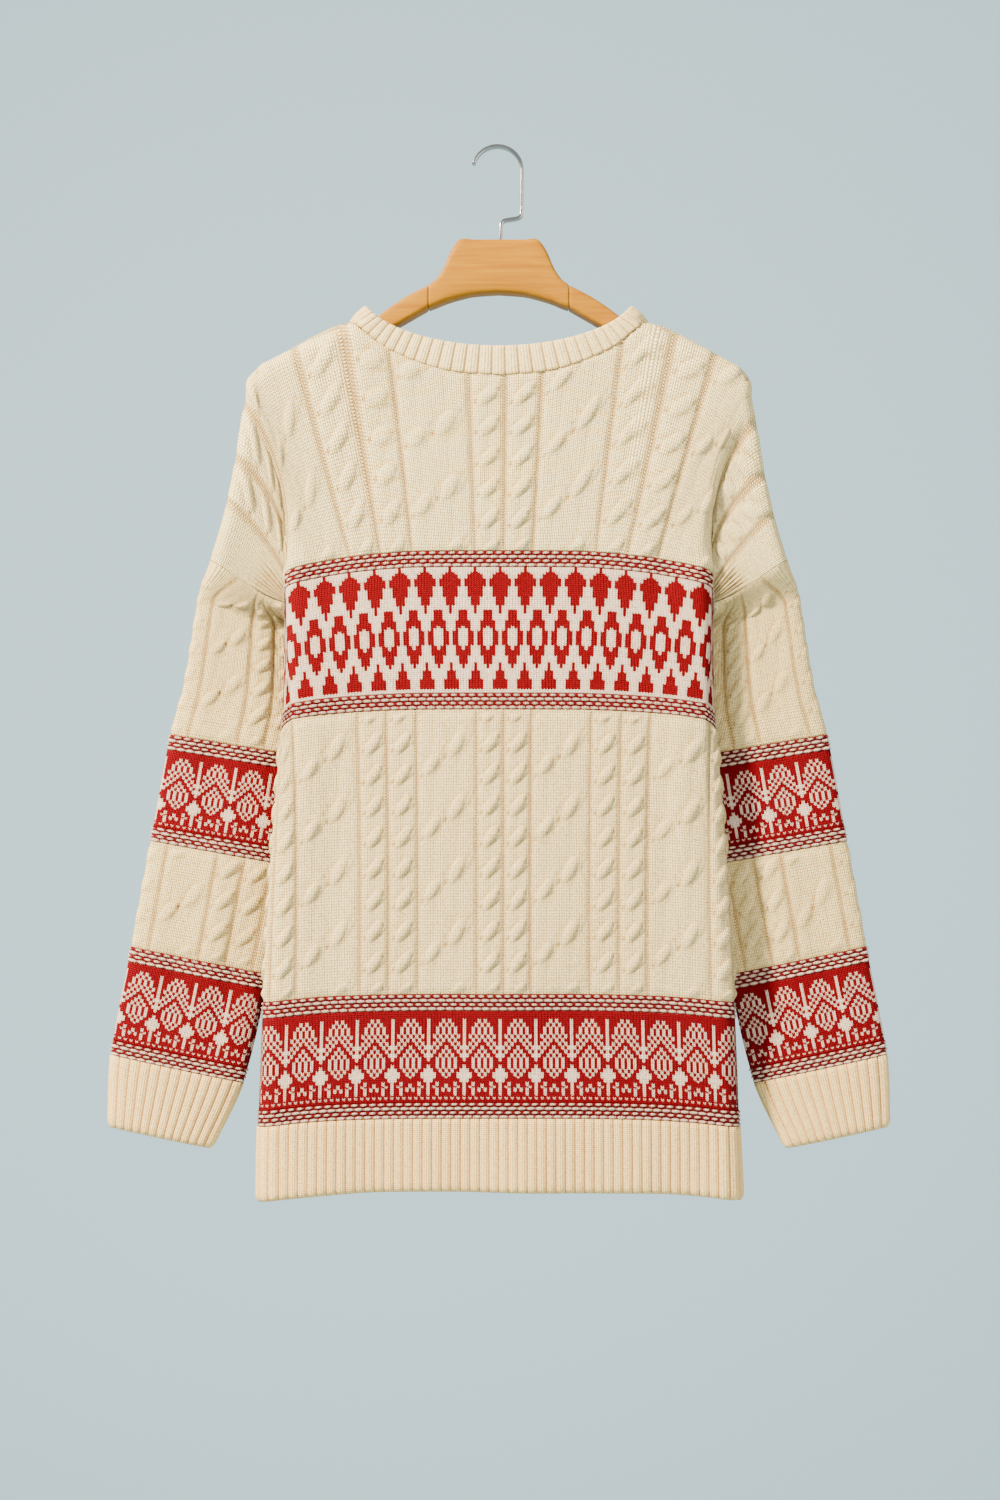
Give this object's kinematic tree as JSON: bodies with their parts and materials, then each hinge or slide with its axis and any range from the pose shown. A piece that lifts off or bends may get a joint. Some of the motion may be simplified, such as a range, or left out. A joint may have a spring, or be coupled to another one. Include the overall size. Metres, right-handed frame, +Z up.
{
  "type": "cable knit crew neck sweater on a wooden hanger",
  "caption": "Drop-shoulder cable knit crew neck sweater with two-colour jacquard bands, hanging flat on a three-piece wooden hanger with a bent steel strip hook.",
  "frame": {"origin": "the underside of the hook's crown, where it bears on a rail", "axes": "+Z up, +X to the right and -Y towards someone who looks at the back of the sweater"},
  "size_m": [0.6224, 0.0601, 0.8397],
  "materials": {
    "cream_knit": "soft wool-blend cable knit, matte, with red and white jacquard bands",
    "cream_rib": "ribbed knit, matte, slightly yellower cream",
    "beech": "clear-lacquered beech, satin",
    "nickel": "bright nickel-plated steel strip"
  },
  "bodies": {
    "root": {"back_panel": "cream_knit", "front_panel": "cream_knit", "neckband": "cream_rib", "hem_rib": "cream_rib", "sleeve_left": "cream_knit", "sleeve_right": "cream_knit", "cuff_left": "cream_rib", "cuff_right": "cream_rib", "hanger_centre": "beech", "hanger_arm_left": "beech", "hanger_arm_right": "beech", "hanger_hook": "nickel"}
  },
  "joints": []
}
